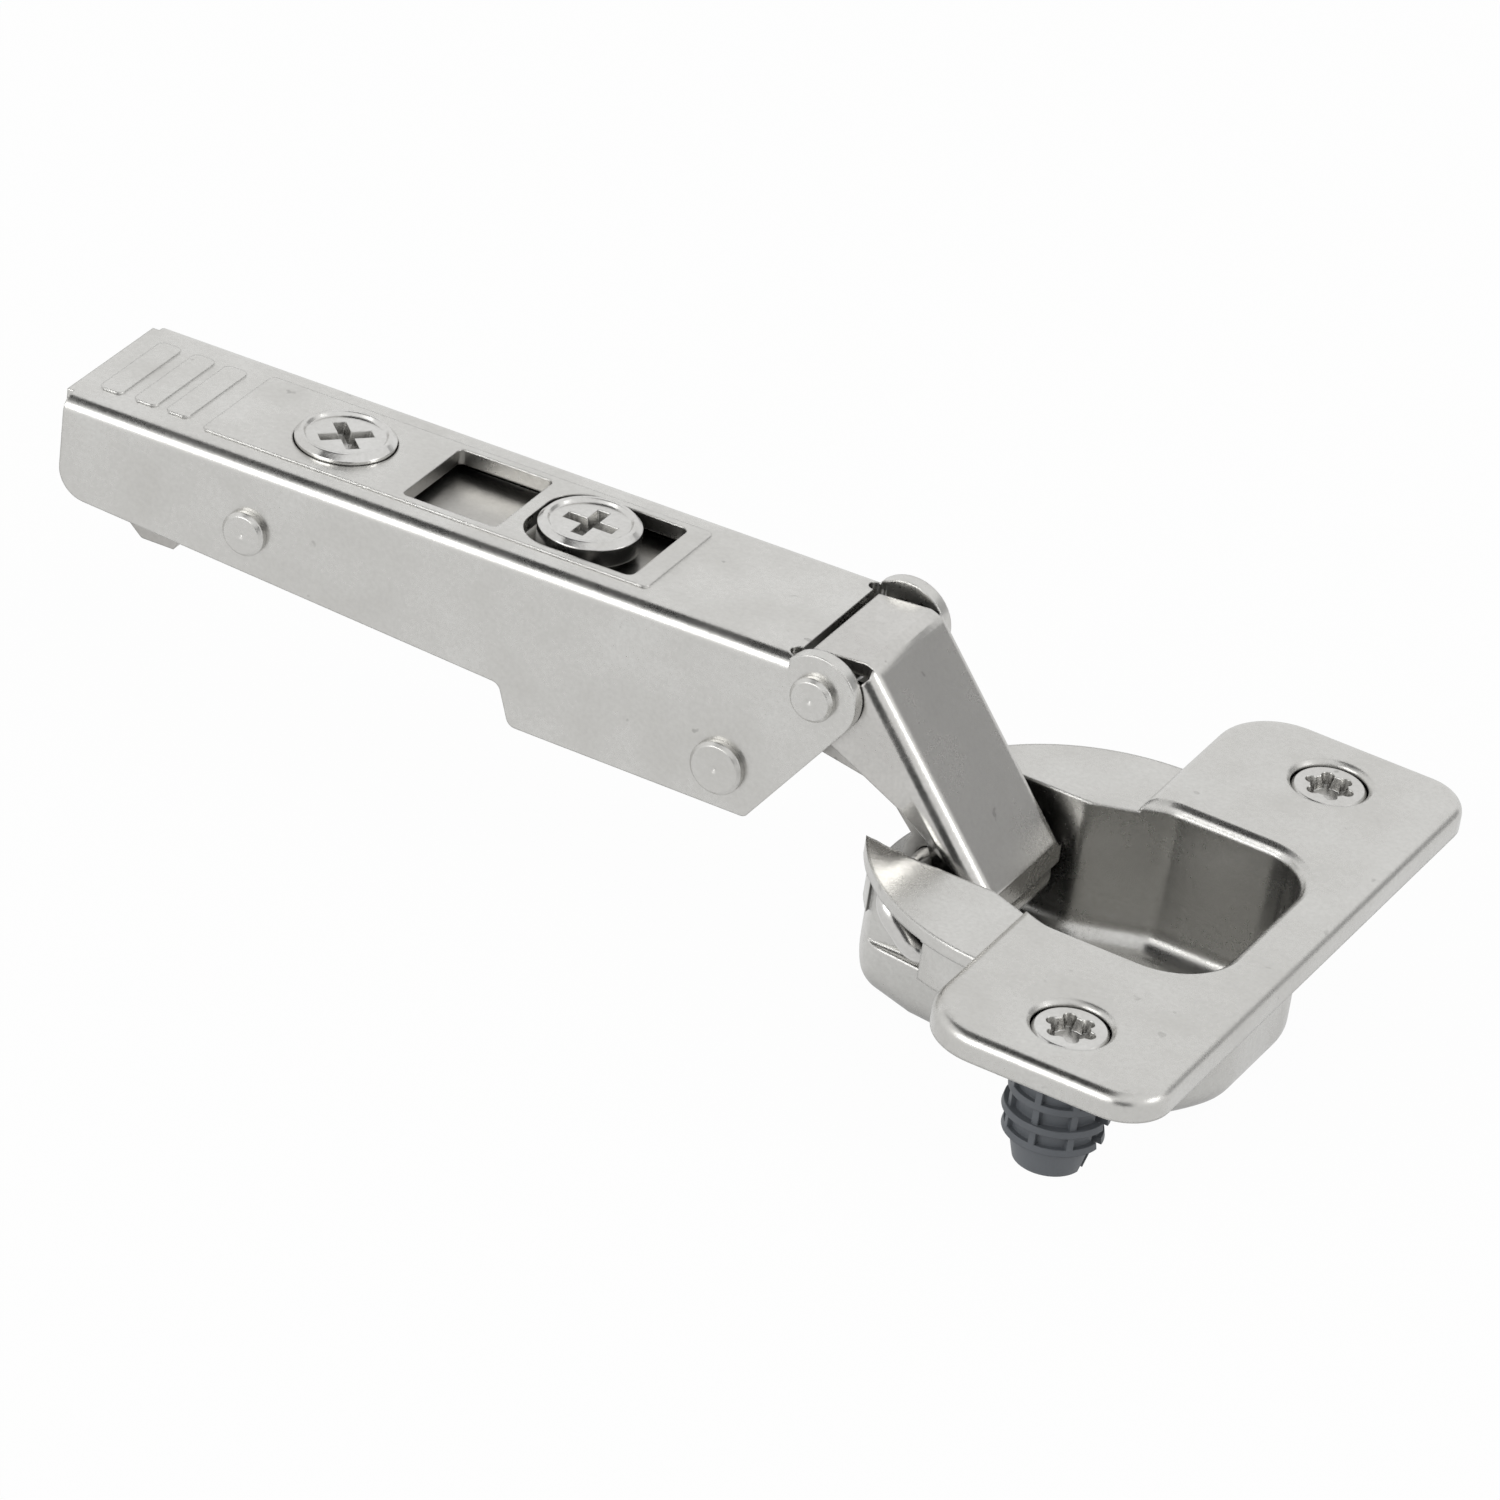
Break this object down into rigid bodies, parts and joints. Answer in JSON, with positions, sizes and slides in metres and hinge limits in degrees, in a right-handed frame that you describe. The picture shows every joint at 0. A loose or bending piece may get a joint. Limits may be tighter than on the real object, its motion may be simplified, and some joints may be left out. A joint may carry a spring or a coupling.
{
  "type": "concealed cup hinge",
  "caption": "Concealed cabinet door hinge: long folded steel arm, two links, drawn cup with screw-and-dowel wings, adjusting screws and clip lever, shown wide open.",
  "frame": {"origin": "on the cup's axis at the plane where the wings seat on the door", "axes": "+Z out of the cup's mouth, +X away from the arm towards the wings' free edge, +Y along the hinge axes"},
  "size_m": [0.111, 0.0586, 0.0267],
  "materials": {
    "nickel_steel": "satin nickel plating",
    "inner_steel": "satin nickel plating",
    "rivet_steel": "satin nickel plating",
    "screw_steel": "bright nickel plating",
    "spring_steel": "bright spring steel",
    "dowel_plastic": "moulded dark grey plastic"
  },
  "bodies": {
    "cup_body": {"cup": "nickel_steel", "axle_wire": "spring_steel", "dowel_near": "dowel_plastic", "dowel_far": "dowel_plastic", "fixing_screw_near": "screw_steel", "fixing_screw_far": "screw_steel"},
    "outer_link_body": {"outer_link": "nickel_steel"},
    "inner_link_body": {"inner_link": "inner_steel"},
    "arm_body": {"hinge_arm": "nickel_steel", "front_rivet": "rivet_steel", "lower_rivet": "rivet_steel", "rear_rivet": "rivet_steel", "closing_spring": "spring_steel", "lever_spring": "spring_steel"},
    "lever_body": {"clip_lever": "inner_steel"},
    "block_body": {"depth_block": "inner_steel"},
    "plate_body": {"inner_plate": "inner_steel"},
    "depth_screw_body": {"depth_screw": "screw_steel"},
    "side_screw_body": {"side_screw": "screw_steel"}
  },
  "joints": [
    {"name": "door_swing", "type": "hinge", "parent": "cup_body", "child": "outer_link_body", "pos_m": [-0.0082, 0, -0.0048], "axis": [0, 1, 0], "range_deg": [0, 105.6]},
    {"name": "arm_turn", "type": "hinge", "parent": "outer_link_body", "child": "arm_body", "pos_m": [-0.0222, 0, 0.0113], "axis": [0, 1, 0], "range_deg": [-13.2, 0]},
    {"name": "inner_link_turn", "type": "hinge", "parent": "cup_body", "child": "inner_link_body", "pos_m": [-0.012, 0, -0.0011], "axis": [0, 1, 0], "range_deg": [0, 128.66]},
    {"name": "clip_release", "type": "hinge", "parent": "arm_body", "child": "lever_body", "pos_m": [-0.07311, 0, 0.00571], "axis": [0, 1, 0], "range_deg": [0, 5.5], "deforming": ["lever_spring"]},
    {"name": "depth_turn", "type": "hinge", "parent": "arm_body", "child": "depth_screw_body", "pos_m": [-0.06936, 0, 0.00932], "axis": [-0.0419, 0, 0.9991], "range_deg": [-40, 180]},
    {"name": "depth_slide", "type": "slide", "parent": "arm_body", "child": "block_body", "axis": [0.9991, 0, 0.0419], "range_m": [-0.0004, 0.0018]},
    {"name": "side_tilt", "type": "hinge", "parent": "block_body", "child": "plate_body", "pos_m": [-0.06933, 0, 0.00857], "axis": [0, 1, 0], "range_deg": [-1.1, 2.2]},
    {"name": "side_turn", "type": "hinge", "parent": "plate_body", "child": "side_screw_body", "pos_m": [-0.04698, 0, 0.01026], "axis": [-0.0419, 0, 0.9991], "range_deg": [-180, 360]}
  ],
  "couplings": [
    {"joint": "arm_turn", "follows": "door_swing", "ratio": -0.125},
    {"joint": "inner_link_turn", "follows": "door_swing", "ratio": 1.2184},
    {"joint": "depth_turn", "follows": "depth_slide", "rad_per_m": 1745.3},
    {"joint": "side_turn", "follows": "side_tilt", "ratio": 163.64}
  ]
}
